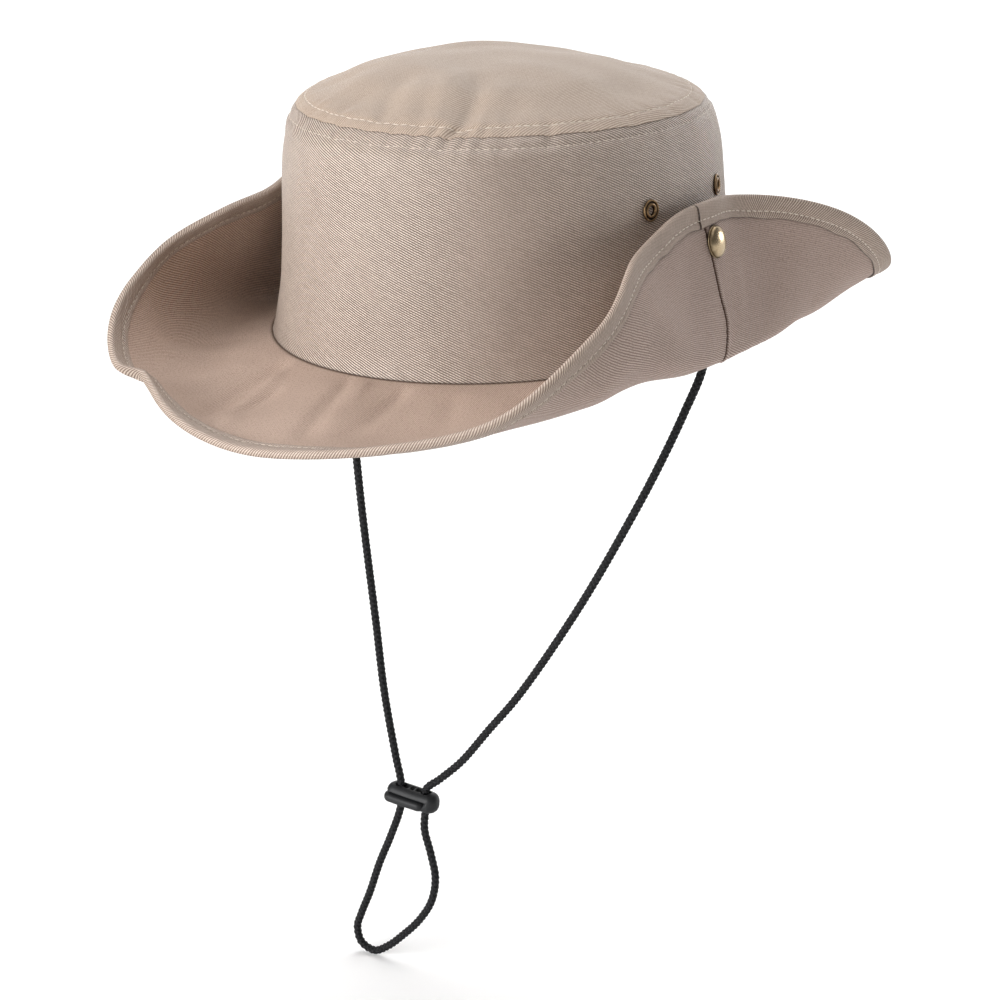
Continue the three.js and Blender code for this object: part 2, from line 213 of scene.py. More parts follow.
# A socket whose arithmetic adds Math nodes, so that shader maths reads as sums.
class Value:
    def __init__(self, finish, socket):
        self.finish = finish
        self.socket = socket

    def maths(self, operation, *values):
        return self.finish.node("ShaderNodeMath", {"operation": operation}, values)

    def __add__(self, other):
        return self.maths("ADD", self, other)

    def __radd__(self, other):
        return self.maths("ADD", other, self)

    def __sub__(self, other):
        return self.maths("SUBTRACT", self, other)

    def __rsub__(self, other):
        return self.maths("SUBTRACT", other, self)

    def __mul__(self, other):
        return self.maths("MULTIPLY", self, other)

    def __rmul__(self, other):
        return self.maths("MULTIPLY", other, self)

    # A sine wave from 0 to 1, once for each whole number.
    def wave(self):
        return 0.5 + 0.5 * self.maths("SINE", self * fullTurn)

    def whole(self):
        return self.maths("FLOOR", self)

    # 1 plus the size times the value's distance from the middle.
    def around(self, size, middle):
        return (1 - size * middle) + size * self

    # Soft step from 0 at low to 1 at high.
    def within(self, low, high):
        return self.finish.node("ShaderNodeMapRange", {"clamp": True, "interpolation_type": "SMOOTHSTEP"},
                                {"Value": self, "From Min": low, "From Max": high})


# One material: a Principled shader with its output, and the nodes that feed it.
class Finish:
    def __init__(self, name, **constants):
        self.material = bpy.data.materials.new(name)
        self.material.use_nodes = True
        self.tree = self.material.node_tree
        self.tree.nodes.clear()
        self.shader = self.tree.nodes.new("ShaderNodeBsdfPrincipled")
        output = self.tree.nodes.new("ShaderNodeOutputMaterial")
        self.tree.links.new(self.shader.outputs["BSDF"], output.inputs["Surface"])
        for name, value in constants.items():
            self.shader.inputs[name.replace("_", " ")].default_value = value

    # Adds a node: its settings first, then its sockets' values or links.
    def node(self, kind, settings=None, sockets=(), output=0):
        made = self.tree.nodes.new(kind)
        for name, value in (settings or {}).items():
            setattr(made, name, value)
        for key, value in (sockets.items() if isinstance(sockets, dict) else enumerate(sockets)):
            self.feed(made.inputs[key], value)
        return Value(self, made.outputs[output])

    def feed(self, socket, value):
        if isinstance(value, Value):
            self.tree.links.new(value.socket, socket)
        else:
            socket.default_value = value

    # Gives the shader what changes over the surface.
    def surface(self, base, roughness, height, depth, strength=1.0):
        self.feed(self.shader.inputs["Base Color"], base)
        self.feed(self.shader.inputs["Roughness"], roughness)
        self.feed(self.shader.inputs["Normal"], self.lift(height, depth, strength))
        return self.material

    # Colours mixed by a share, or multiplied.
    def blend(self, share, first, second, way="MIX"):
        return self.node("ShaderNodeMix", {"data_type": "RGBA", "blend_type": way},
                         {0: share, 6: first, 7: second}, 2)

    # Noise whose patches are about a size across, in millimetres.
    def noise(self, vector, size, detail=2.0, roughness=0.5):
        return self.node("ShaderNodeTexNoise", {},
                         {"Vector": vector, "Scale": 1 / (size * metres), "Detail": detail,
                          "Roughness": roughness}, "Fac")

    def mark(self, name):
        return self.node("ShaderNodeAttribute", {"attribute_name": name}, output="Fac")

    def objectPlace(self):
        return self.node("ShaderNodeTexCoord", output="Object")

    # A normal bent by a height whose full share stands so deep, in millimetres.
    def lift(self, height, depth, strength=1.0):
        return self.node("ShaderNodeBump", {}, {"Height": height, "Distance": depth * metres,
                                                "Strength": strength}, "Normal")


# Linear colour with alpha from sRGB parts of 255.
def colour(red, green, blue):
    parts = (np.array([red, green, blue]) / 255 + 0.055) / 1.055
    return (*(parts ** 2.4), 1.0)


white = colour(255, 255, 255)
# The weave that all twills here share: how far the ribs wander, how far a rib's threads step on from the last
# one's, how much the threads, fibres and streaks count, and the share of raised yarn in calm cloth.
weaveShape = {"wander": 0.5, "wanderSize": 6.0, "step": 0.38, "thread": 0.24, "fibre": 0.4, "fibreSize": 0.35,
              "streak": 0.6, "streakLength": 0.16, "patchSize": 24.0, "calmShare": 0.37}


# Twill: ribs a pitch apart that lean from level, each broken into threads that step from rib to rib. The
# height is the rib's wave times the thread's; it mixes the ground yarn with the raised one, and drives bump.
# Both fade towards an even share where the calm mark is high.
def twillFinish(name, twill, weave):
    finish = Finish(name, Specular_IOR_Level=twill["shine"])
    cloth = finish.node("ShaderNodeUVMap", {"uv_map": "cloth"})
    along, up = (finish.node("ShaderNodeSeparateXYZ", {}, [cloth], axis) for axis in ("X", "Y"))
    lean = math.radians(twill["lean"])
    pitch = twill["pitch"] * metres
    uneven = finish.noise(cloth, weave["wanderSize"])
    across = along * (math.sin(lean) / pitch) + up * (math.cos(lean) / pitch) + uneven * weave["wander"]
    stretch = twill["threadLength"] * metres
    step = across.whole() * weave["step"]
    length = along * (math.cos(lean) / stretch) - up * (math.sin(lean) / stretch) + step
    rib = across.wave().within(*twill["groove"])
    fibre = finish.noise(cloth, weave["fibreSize"], 1.0)
    ribPlace = finish.node("ShaderNodeCombineXYZ", {}, [across, length * weave["streakLength"]])
    streak = finish.noise(ribPlace, 1 / metres, 1.0)
    height = rib * length.wave().around(weave["thread"], 1) * fibre.around(weave["fibre"], 0.5)
    patch = finish.noise(finish.objectPlace(), weave["patchSize"], 3.0)
    fleck = finish.noise(cloth, twill["fleckSize"], 2.0)
    calm = finish.mark("calm")
    share = height * streak.around(weave["streak"], 0.5)
    yarn = finish.blend(share + (weave["calmShare"] - share) * calm, twill["ground"], twill["raised"])
    yarn = finish.blend((patch - 0.35) * twill["patchy"], yarn, twill["raised"])
    yarn = finish.blend(fleck.within(0.4, 0.9) * twill["grain"], yarn, twill["fleck"])
    # Painted shade: the under mark tints the underside greyer and darker.
    underShade = finish.blend(finish.mark("under"), white, twill["underShadeTint"])
    yarn = finish.blend(1.0, yarn, underShade, "MULTIPLY")
    # Painted shade: where the shade mark is high the colour turns dark, in seams, grooves, creases, under the
    # tape's edges and in puckers.
    base = finish.blend(finish.mark("shade").within(0.02, 1), yarn, twill["seam"])
    relief = height * (1 - 0.8 * calm)
    return finish.surface(base, twill["rough"] - height * 0.1, relief, twill["relief"], 0.8)


# Sizes are in millimetres and the lean of the ribs in degrees. The groove gives the part of a rib's wave that
# rises. The crown's wall is a coarse steep twill; the other pieces share a finer one, each cut its own way.
# The colour given for seams and creases is painted shade: it shows where the shade mark is high, in seams,
# creases, along the tape's edges and joint and in the tip's puckers.
plainTwill = {"fleck": colour(112, 94, 82), "underShadeTint": white, "shine": 0.4, "pitch": 0.84,
              "threadLength": 1.2, "groove": (0.08, 0.8)}
crownTwill = twillFinish("crownTwill", {
    **plainTwill, "ground": colour(64, 46, 34), "raised": colour(214, 196, 182), "seam": colour(58, 42, 32),
    "fleck": colour(112, 92, 76), "fleckSize": 1.7, "grain": 0.3, "rough": 0.58, "shine": 0.6,
    "threadLength": 1.3, "lean": 22.5, "groove": (0.1, 0.62), "relief": 0.8, "patchy": 0.2}, weaveShape)
tipTwill = twillFinish("tipTwill", {
    **plainTwill, "ground": colour(137, 119, 104), "raised": colour(188, 170, 154),
    "seam": colour(70, 52, 42), "fleckSize": 1.0, "grain": 0.45, "rough": 0.66, "lean": 100, "relief": 0.1,
    "patchy": 0.3}, weaveShape)
brimTwill = twillFinish("brimTwill", {
    **plainTwill, "ground": colour(153, 128, 113), "raised": colour(221, 197, 181),
    "seam": colour(66, 44, 31), "fleck": colour(128, 105, 92), "fleckSize": 0.9, "grain": 0.75,
    "underShadeTint": colour(214, 215, 219), "rough": 0.75, "shine": 0.3, "lean": 90, "relief": 0.2,
    "patchy": 0.25}, weaveShape)
tapeTwill = twillFinish("tapeTwill", {
    **plainTwill, "ground": colour(118, 99, 87), "raised": colour(204, 187, 174), "seam": colour(46, 32, 24),
    "fleckSize": 1.4, "grain": 0.3, "underShadeTint": colour(228, 226, 223), "rough": 0.7, "lean": -55,
    "relief": 0.16, "patchy": 0.25}, weaveShape)
threadLook = {"dark": colour(184, 168, 152), "light": colour(222, 210, 196), "toneSize": 2.5, "sheen": 0.2,
              "rough": 0.6, "fuzz": 0.05}
braidLook = {"hollowShade": colour(2, 2, 3), "top": colour(24, 24, 26), "fleck": colour(54, 55, 57),
             "fleckSize": 0.45, "shine": 0.14, "rough": 0.7, "worn": 0.3, "fuzz": 0.12}
plasticLook = {"dark": colour(14, 15, 16), "light": colour(26, 27, 29), "shine": 0.32, "rough": 0.66,
               "rubbed": 0.2, "grain": 0.03}


# Sewing thread: its tone drifts along the rows, and its fibres stand up a little.
def threadFinish(look):
    finish = Finish("sewingThread", Sheen_Weight=look["sheen"])
    place = finish.objectPlace()
    tone = finish.blend(finish.noise(place, look["toneSize"]), look["dark"], look["light"])
    return finish.surface(tone, look["rough"], finish.noise(place, 0.2), look["fuzz"])


# Braid yarn: near black, with painted shade that darkens its strands' hollows below their tops, and with
# paler flecks.
def braidFinish(look):
    finish = Finish("braid", Specular_IOR_Level=look["shine"])
    place = finish.objectPlace()
    yarn = finish.blend(finish.mark("strand").within(0.35, 1), look["hollowShade"], look["top"])
    fleck = finish.noise(place, look["fleckSize"]).within(0.52, 0.75)
    return finish.surface(finish.blend(fleck, yarn, look["fleck"]),
                          look["rough"] - look["worn"] * finish.noise(place, 1.2),
                          finish.noise(place, 0.2), look["fuzz"])


# Moulded plastic: fine grain with slightly shinier rubbed places.
def plasticFinish(look):
    finish = Finish("lockPlastic", Specular_IOR_Level=look["shine"])
    place = finish.objectPlace()
    rub = finish.noise(place, 5.0, 3.0)
    return finish.surface(finish.blend(rub, look["dark"], look["light"]),
                          look["rough"] - look["rubbed"] * rub, finish.noise(place, 0.35, 2.0), look["grain"])


# Old brass: polished where the wear mark is high, brown in the hollows, with fine scratches.
def brassFinish(name, bright, dark, smooth):
    finish = Finish(name, Metallic=1.0)
    place = finish.objectPlace()
    stain = finish.noise(place, 1.6, 4.0, 0.65)
    share = (finish.mark("wear") * 1.3 + stain * 0.9 - 0.65).within(0, 1)
    return finish.surface(finish.blend(share, dark, bright), smooth + 0.25 * (1 - share),
                          finish.noise(place, 0.3, 3.0), 0.02)


sewingThread = threadFinish(threadLook)
braidYarn = braidFinish(braidLook)
lockPlastic = plasticFinish(plasticLook)
capBrass = brassFinish("capBrass", colour(174, 155, 126), colour(60, 45, 27), 0.25)
eyeletBrass = brassFinish("eyeletBrass", colour(128, 104, 76), colour(44, 32, 23), 0.3)
print("materials made")

# The cord's route in the plane just behind the side seams: X and Z down the left run, through the lock, round
# the loop and up the right run.
cordShape = {"diameter": 3.0, "crest": 1.82, "y": 6.0, "around": 40, "step": 0.3, "relief": 0.75, "dip": 0.45,
             "strands": 4, "twist": 2.3}
cordRoute = np.array([
    (81, 10), (82.4, 3), (83.6, -4), (83.6, -12), (75.6, -32), (65.9, -53), (54.7, -75), (29.6, -120),
    (0.2, -165.5), (-14.8, -184.5), (-28.6, -202), (-39.6, -212.6), (-46.8, -219.2), (-47.3, -229.2),
    (-47.8, -238), (-44.8, -249), (-42.7, -260), (-44.9, -271.5), (-51.6, -282.5), (-60, -291.6),
    (-67.8, -298.8), (-75.4, -303), (-82.1, -300.4), (-84, -293.4), (-81.6, -286), (-77, -275),
    (-71.5, -259.5), (-65.3, -245), (-59.8, -229.5), (-59.4, -218.6), (-62, -206), (-67, -178),
    (-70.6, -146), (-76.3, -97), (-80, -56), (-82.5, -28), (-83.6, -4), (-82.6, 3), (-81.3, 10)])


# A smooth line through a route, in even steps along it. Its spans are centripetal Catmull-Rom curves: lines
# between neighbouring points are mixed by time, then the mixed ones are mixed twice more.
def smoothRoute(route, step):
    ends = np.vstack([2 * route[0] - route[1], route, 2 * route[-1] - route[-2]])
    share = np.linspace(0, 1, 24, endpoint=False)[:, None]
    spans = []
    for level in zip(ends, ends[1:], ends[2:], ends[3:]):
        times = np.cumsum([0, *(math.dist(p, q) ** 0.5 for p, q in zip(level, level[1:]))])
        now = times[1] + (times[2] - times[1]) * share
        for starts, reach in (((0, 1, 2), 1), ((0, 1), 2), ((1,), 1)):
            low, high = times[list(starts)], times[[k + reach for k in starts]]
            level = [((after - now) * first + (now - before) * second) / (after - before)
                     for before, after, first, second in zip(low, high, level, level[1:])]
        spans.append(level[0])
    line = np.vstack([*spans, route[-1:]])
    length = runAlong(line)
    even = np.linspace(0, length[-1], int(length[-1] / step) + 1)
    return np.stack([np.interp(even, length, line[:, k]) for k in (0, 1)], -1), length[-1]


# A braided tube along the route. Two sets of strands wind opposite ways, and at each crossing one of the two
# lies on top. The radius falls from its crest as a half circle does across that strand, and dips at its ends.
def chinCord(shape, route):
    line, length = smoothRoute(route, shape["step"])
    travel = np.linspace(0, length, len(line))[:, None]
    ahead = unit(np.gradient(line, axis=0))
    turn = np.linspace(0, 1, shape["around"] + 1)[None]
    right = shape["strands"] * turn + travel / shape["twist"]
    left = shape["strands"] * turn - travel / shape["twist"]
    rightTop = (np.floor(right) + np.floor(left)) % 2 < 1
    crossing = np.where(rightTop, right % 1, left % 1) * 2 - 1
    lengthwise = np.where(rightTop, left % 1, right % 1) * 2 - 1
    strand = np.sqrt(np.clip(1 - crossing ** 2, 0, 1)) * (1 - shape["dip"] * lengthwise ** 2)
    radius = shape["crest"] - shape["relief"] * (1 - strand)
    side = radius * np.cos(fullTurn * turn)
    out = radius * np.sin(fullTurn * turn)
    points = pointsOf(line[:, :1] - out * ahead[:, 1:], shape["y"] + side, line[:, 1:] + out * ahead[:, :1])
    first, last = (np.repeat(pointsOf(line[k, 0], shape["y"], line[k, 1])[None, None], points.shape[1], 1)
                   for k in (0, -1))
    marks = {"strand": np.vstack([strand[:1] * 0, strand, strand[:1] * 0])}
    cord = skin("chin_cord_braid", np.vstack([first, points, last]), braidYarn, poles=True, marks=marks)
    path = pointsOf(line[::8, 0], shape["y"], line[::8, 1]) * metres
    return cord, path, length * metres


# The lock: a flat oval block over a smaller slide that stands out at its front and left end.
lockShape = {"x": -53.3, "z": -224.0, "length": 25.2, "depth": 9.6, "height": 9.2, "tilt": 5.0,
             "hole": 2.05, "spacing": 12.6, "notches": (-3.1, -0.1, 2.9), "slitDepth": 2.1, "pitDepth": 3.0,
             "notchDepth": 1.9, "columns": 280, "rows": 65, "squareness": 2.5}
slideShape = {"length": 20.6, "depth": 7.6, "height": 4.7, "x": -2.7, "y": -1.75, "z": -1.75, "columns": 160,
              "rows": 33, "squareness": 2.6}


# A rounded block: rings of a stadium outline shrink to its middle line while the height follows a
# superellipse. Share 1 is the rim, and the shares past it come back over the top.
def roundedBlock(shape):
    turn = np.linspace(0, fullTurn, shape["columns"] + 1)[None]
    level = np.linspace(-1, 1, shape["rows"])[:, None]
    power = shape["squareness"] / 2
    over, under = np.abs(level) ** power, (1 - np.abs(level)) ** power
    sweep = np.sign(level) * over / (over + under) * math.pi / 2
    share, rise = (np.sign(v) * np.abs(v) ** (1 / power) for v in (np.cos(sweep), np.sin(sweep)))
    radius = shape["depth"] / 2
    x = np.clip(3 * np.cos(turn), -1, 1) * (shape["length"] / 2 - radius) + share * radius * np.cos(turn)
    return x, share * radius * np.sin(turn), rise * shape["height"] / 2 + 0 * turn


# Tilts a block about the hat's front-to-back axis and moves it onto the cord.
def onCord(x, y, z):
    tilt = math.radians(lockShape["tilt"])
    return pointsOf(lockShape["x"] + x * math.cos(tilt) + z * math.sin(tilt), cordShape["y"] + y,
                    lockShape["z"] + z * math.cos(tilt) - x * math.sin(tilt))


# The block's front is slit along its left and middle, and its top has pits for the cord and three notches.
def lockBlock(shape):
    x, y, z = roundedBlock(shape)
    recess = ease(-y, 1.2, 2.6) * (1 - ease(x - 0.6 * z, 7.2, 8.0)) * ease(1.2 - z, 0, 0.3)
    y = y + shape["slitDepth"] * recess
    top = ease(z, 2.2, 3.4)
    pit = sum(1 - ease(np.hypot(x - side * shape["spacing"] / 2, y), shape["hole"], shape["hole"] + 0.35)
              for side in (-1, 1))
    notch = sum((1 - ease(abs(x - middle), 0.8, 1.05)) * (1 - ease(abs(y + 0.4), 1.3, 1.55))
                for middle in shape["notches"])
    z = z - top * (shape["pitDepth"] * pit + shape["notchDepth"] * notch)
    z = z + ease(-z, 2.2, 3.4) * shape["pitDepth"] * pit
    return skin("cord_lock_body", onCord(x, y, z), lockPlastic, poles=True)


# The slide is a plain block at its own place against the lock's middle.
def lockSlide(shape):
    x, y, z = roundedBlock(shape)
    return skin("cord_lock_slide", onCord(x + shape["x"], y + shape["y"], z + shape["z"]), lockPlastic,
                poles=True)


lockBody = settle(lockBlock(lockShape), "lock_plastic", "cord_lock")
lockSlider = settle(lockSlide(slideShape), "lock_plastic")
cordPiece, cordPath, cordLength = chinCord(cordShape, cordRoute)
settle(cordPiece, "braided_cord", "chin_cord")
print("cord and lock made:", round(cordLength, 4), "m of cord")

# The crown's wall and tip. Shifts and tilts move the tip's seam against the head opening, leans move the
# dome's middle, and the rows are the stitches below and inside the ridge. The three radii are rough means,
# of the head opening, of the wall and of the tip.
crownShape = {"height": 86.2, "cloth": 1.6, "shiftX": -1.5, "shiftY": -1.0, "tiltX": -0.0015, "tiltY": -0.03,
              "leanX": -13.5, "leanY": -2.0, "rowBelow": 3.5, "rowInside": 4.5, "rowWidth": 0.7,
              "openingRadius": 96, "wallRadius": 86, "tipRadius": 82, "columns": 720, "patternTurn": 0.1,
              "patternReach": 1.08, "calm": 0.55, "calmAt": 44}
crownTable = np.array([(0, 104, 87.5), (5, 102.5, 86), (11, 102, 85), (37, 100.3, 82.2), (66, 98.6, 80.3),
                       (79, 96.8, 78), (86.2, 88.5, 75.3)])  # height, half length, half width
tipTable = np.array([(0, 15.8), (0.3, 15.2), (0.6, 12.1), (0.8, 6.7), (0.93, 3.4), (1, 0)])  # share, rise
# How far each row, gather and wave stands out of the wall or the tip, or is sunk into it.
bandShape = {"rowSunk": 0.3, "roll": 0.22, "backSeam": 0.5, "pucker": 0.8, "rowGather": 0.16, "wave": 0.3,
             "patch": 0.25, "footGather": 0.1, "flat": 1.4, "flatAt": -55}
tipShape = {"rim": 0.2, "rowSunk": 0.3, "rowGather": 0.16, "patch": 0.3}
# Puckers across the seam round the tip: ring angle, width, depth, and lean in degrees over the tip.
puckerTable = [(-44, 4, 0.35, 0), (-31, 3, 0.6, 2), (-22, 3, 0.5, 0), (-13.5, 2.4, 0.7, 1), (-3, 3, 0.5, 0),
               (5, 2.2, 0.6, 1), (11.5, 2.2, 0.7, 2), (16.5, 1.8, 0.9, 2), (21, 2.6, 1.6, 3.5),
               (25.5, 1.8, 0.8, 3), (30, 2.2, 0.6, 2), (36, 3.2, 0.5, 0), (48, 2.6, 0.7, 1), (60, 4, 0.4, 0),
               (74, 3.5, 0.5, 0), (92, 3, 0.5, -1), (109, 3, 0.5, 0), (128, 3.2, 0.5, 1), (147, 3, 0.6, 0),
               (166, 3.4, 0.5, -1), (-170, 3, 0.5, 0), (-152, 3.2, 0.6, 1), (-133, 3.4, 0.5, 0),
               (-112, 3, 0.6, -1), (-93, 3.4, 0.5, 0), (-71, 3.2, 0.5, 1)]
# Long soft folds of the tip: angle at the rim, angle inside, shares they run between, width and height.
tipFolds = [(24, 34, 0.97, 0.42, 5, -1.5), (17, 14, 0.93, 0.35, 6, 0.9), (0, -13, 0.94, 0.42, 6, -1.0),
            (8, 0, 0.9, 0.5, 6, 0.5), (-19, -16, 0.93, 0.6, 5, -0.7), (-30, -36, 0.92, 0.55, 6, 0.5),
            (-52, -50, 0.92, 0.5, 7, -0.5), (38, 48, 0.92, 0.6, 5, -0.5), (158, 170, 0.85, 0.3, 12, -0.7),
            (120, 128, 0.93, 0.5, 8, -0.5), (-110, -102, 0.93, 0.5, 9, 0.5),
            (-148, -150, 0.95, 0.35, 15, 1.6)]


# A wall point: an ellipse whose half axes follow the table, which leans and tilts more the higher it is.
def crownPoint(angle, height, inset=0.0):
    halfLength = smoothThrough(height, crownTable) - inset
    halfWidth = smoothThrough(height, crownTable, 2) - inset
    share = height / crownShape["height"]
    x = halfWidth * np.sin(np.radians(angle)) + crownShape["shiftX"] * share
    y = -halfLength * np.cos(np.radians(angle)) + crownShape["shiftY"] * share
    return pointsOf(x, y, height + share * (crownShape["tiltX"] * x + crownShape["tiltY"] * y))


# The ridge where the wall meets the tip.
def crownRim(angle):
    return crownPoint(angle, np.full(np.shape(angle), crownShape["height"]))


# The wall's outward direction, across its two directions.
def crownNormal(angle, height):
    along = crownPoint(angle + 0.5, height) - crownPoint(angle - 0.5, height)
    up = crownPoint(angle, height + 0.5) - crownPoint(angle, height - 0.5)
    return unit(np.cross(along, up))


crownDegree = math.pi * crownShape["wallRadius"] / 180  # millimetres of the wall to a degree of the ring


# How far the ring angle is from a middle, either way round, in degrees.
def ringOffset(angle, middle):
    return (angle - middle + 180) % 360 - 180


# The same along the crown's wall, in millimetres.
def wallOffset(angle, middle):
    return ringOffset(angle, middle) * crownDegree


# The puckers' depth where an angle is; lean follows a share over the seam.
def puckers(angle, over):
    return sum(depth * hump(wallOffset(angle, middle + lean * over), width)
               for middle, width, depth, lean in puckerTable)


# The wall's relief: a sunk stitch row with a roll above it, the back seam, puckers that fade downwards,
# gathers by the row and the foot, broad soft waves and patches, and one flatter stretch.
def bandRelief(angle, height):
    shape = bandShape
    below = crownShape["height"] - height
    row = below - crownShape["rowBelow"]
    patch = drift(angle * crownDegree, height, 42, 6)
    return (-shape["rowSunk"] * hump(row, crownShape["rowWidth"]) + shape["roll"] * hump(below - 1.6, 1.1)
            - shape["backSeam"] * hump(wallOffset(angle, 180), 0.4)
            - puckers(angle, 0) * hump(below - 1.5, 3.2) * shape["pucker"]
            + shape["rowGather"] * ripple(angle, 4, 24, 60) * hump(row - 1.5, 4.0)
            + shape["wave"] * ripple(angle, 5, 2, 7) * ease(height, 4, 30) * ease(below, 2, 20)
            + shape["patch"] * patch * ease(height, 2, 14) * ease(below, 3, 12)
            + shape["footGather"] * ripple(angle, 7, 30, 70) * hump(height, 5.0)
            - shape["flat"] * hump(wallOffset(angle, shape["flatAt"]), 26) * ease(height, 3, 25)
            * ease(below, 2, 12))


# The wall is a closed shell: up its outside in rows that crowd at the foot and the ridge, then down inside.
# Its weave is laid out as part of a wide flat ring.
def sideBand(shape):
    near = np.array([0.05, 0.1, 0.16, 0.23, 0.32])
    angle = np.unique(np.concatenate([np.linspace(-180, 180, shape["columns"] + 1), near - 180, 180 - near]))
    angle = angle[None]
    cloth, top = shape["cloth"], shape["height"]
    heights = np.concatenate([[0.55, 0.25, 0.2, 0.5, 1.0, 1.8, 3], np.arange(4.5, 74, 2.1),
                              np.arange(75, top - 0.2, 0.55), [top - 0.05, top + 0.14, top + 0.12]])
    insets = np.concatenate([[0.9, 0.5, 0.2, 0.03], np.zeros(len(heights) - 7), [0.04, 0.3, 0.9]])
    inner = np.concatenate([[top - 0.5], np.arange(top - 2, 2, -3.5), [1.2, 0.6]])
    height = np.concatenate([heights, inner])[:, None]
    inset = np.concatenate([insets, np.full(len(inner), cloth)])[:, None]
    wall = np.clip(height, 0, top)
    points = crownPoint(angle, height, inset)
    points = points + crownNormal(angle, np.clip(height, 1, top - 1)) * bandRelief(angle, wall)[..., None]
    shade = 0.9 * hump(height - 0.2, 0.4) * (inset < cloth) + 0.35 * hump(height - top, 0.25)
    shade = np.clip(shade + 0.8 * hump(wallOffset(angle, 180), 0.3), 0, 1)
    calm = shape["calm"] * hump(angle - shape["calmAt"], 24) + 0.12 * ripple(angle, 8, 3, 14)
    profile = crownPoint(angle, wall, inset)
    step = np.linalg.norm(np.diff(profile, axis=0, prepend=profile[:1]), axis=-1)
    run = np.where(inset < cloth, np.cumsum(step, axis=0), height)
    reach = crownDegree * shape["patternReach"] / math.radians(shape["patternTurn"]) - run
    turn = np.radians(angle * shape["patternTurn"])
    uv = pointsOf(reach * np.sin(turn), run + reach * (1 - np.cos(turn)), 0)[..., :2]
    return skin("side_band_cloth", points, crownTwill, uv,
                marks={"shade": shade, "calm": np.clip(calm, 0, 0.8)})


# A point of the tip: a share of the way from its middle to the ridge, raised along the dome's table.
def tipPoint(angle, share, lift):
    edge = crownRim(angle)
    x, y = (crownShape["shift" + axis] + crownShape["lean" + axis] * (1 - share)
            + (edge[..., k] - crownShape["shift" + axis]) * share for k, axis in enumerate("XY"))
    rise = smoothThrough(np.clip(share, 0, 1) + 0 * x, tipTable)
    level = crownShape["height"] + 0.3 + crownShape["tiltX"] * x + crownShape["tiltY"] * y
    return pointsOf(x, y, level + rise + lift)


# Distance from the ridge towards the middle of the tip at a share, and all the way to the middle.
def tipInside(angle, share):
    edge = crownRim(angle)
    reach = np.hypot(edge[..., 0] - crownShape["shiftX"], edge[..., 1] - crownShape["shiftY"])
    return reach * (1 - share), reach


# The tip's relief: a raised rim out to the seam, a sunk stitch row, puckers, long folds and soft unevenness.
def tipRelief(angle, share):
    shape = tipShape
    inside, reach = tipInside(angle, share)
    row = inside - crownShape["rowInside"]
    relief = (shape["rim"] * (1 - ease(inside, 3.6, 4.9)) * ease(inside, 0, 1.2)
              - shape["rowSunk"] * hump(row, crownShape["rowWidth"])
              - puckers(angle, np.clip(inside / 7, 0, 1)) * hump(inside - 2.0, 3.6)
              + shape["rowGather"] * ripple(angle, 11, 30, 70) * hump(row - 2, 4.0))
    for rimAngle, innerAngle, outer, inner, width, height in tipFolds:
        run = np.clip((outer - share) / (outer - inner), 0, 1)
        middle = rimAngle + (innerAngle - rimAngle) * run
        across = np.radians(ringOffset(angle, middle)) * reach * share
        window = ease(share, inner - 0.08, inner + 0.16) * (1 - ease(share, outer - 0.03, outer + 0.03))
        relief = relief + height * hump(across, width * (0.75 + 0.5 * run)) * window
    edge = crownRim(angle)
    soft = shape["patch"] * drift(edge[..., 0] * share, edge[..., 1] * share, 34, 12)
    return relief + soft * ease(inside, 5, 16)


# The tip is a closed shell from the middle of its underside out to the ridge, and back over the top in rows
# that crowd at the rim.
def crownTip(shape):
    angle = np.linspace(-180, 180, shape["columns"] + 1)[None]
    rim = np.array([0.0, 0.2, 0.45, 0.8, 1.3, 2.0, 2.7, 3.2, 3.6, 3.9, 4.2, 4.5, 4.8, 5.1, 5.5, 6.0, 6.7, 7.6,
                    8.8, 10.6, 13.0]) / shape["tipRadius"]
    outer = 1 - np.concatenate([rim, np.linspace(14.8 / shape["tipRadius"], 1, 44)])
    under = np.array([0, 0.1, 0.25, 0.45, 0.65, 0.8, 0.9, 0.96, 0.985])
    share = np.concatenate([under, [0.992], outer])[:, None] + 0 * angle
    drop = np.concatenate([np.full(len(under), -shape["cloth"]), [-0.45, -0.12], np.zeros(len(outer) - 1)])
    angle = angle + 0 * share
    relief = tipRelief(angle, share)
    relief[:len(under)] *= ease(1 - share[:len(under)], 0.01, 0.1)
    points = tipPoint(angle, share, drop[:, None] + relief)
    inside = tipInside(angle, share)[0]
    shade = 0.2 * hump(inside, 0.15) + 0.06 * puckers(angle, 0) * hump(inside, 4.0)
    return skin("tip_cloth", points, tipTwill, points[..., :2], poles=True, marks={"shade": shade})


settle(crownTip(crownShape), "crown_twill", "tip")
settle(sideBand(crownShape), "crown_twill", "side_band")
print("crown made")

# The brim's section every 15 degrees from the front round to the back: the cloth leaves the crown at the
# slope and reaches the turn, in degrees above level, in a bend so far out that spreads so far each way.
brimShape = {"width": 72.5, "level": -0.55, "half": 0.8, "thinner": 0.18, "patch": 0.4, "calm": 0.5,
             "steps": 60, "columns": 560, "rows": 54}
brimTable = np.array([
    (-9.2, -1.6, 49, 30), (-12.8, 21.3, 50.4, 30), (-9.4, 40.2, 49.3, 34.4), (-8.2, 107.3, 45.7, 36.5),
    (-5.9, 121.2, 28.8, 26.5), (-24, 109, 15, 12), (-33, 101, 11, 4.5), (-30, 99, 13.6, 4.5),
    (-23, 72, 21.8, 9), (-18, 33, 33, 14), (-14, 11, 41, 16), (-12, 1, 43, 17), (-12, -1, 44, 18)])
creaseShape = {"at": -24.7, "flapSide": 2.3, "frontSide": 8.2, "from": 28.7, "pull": -7.2, "rise": 1.7}
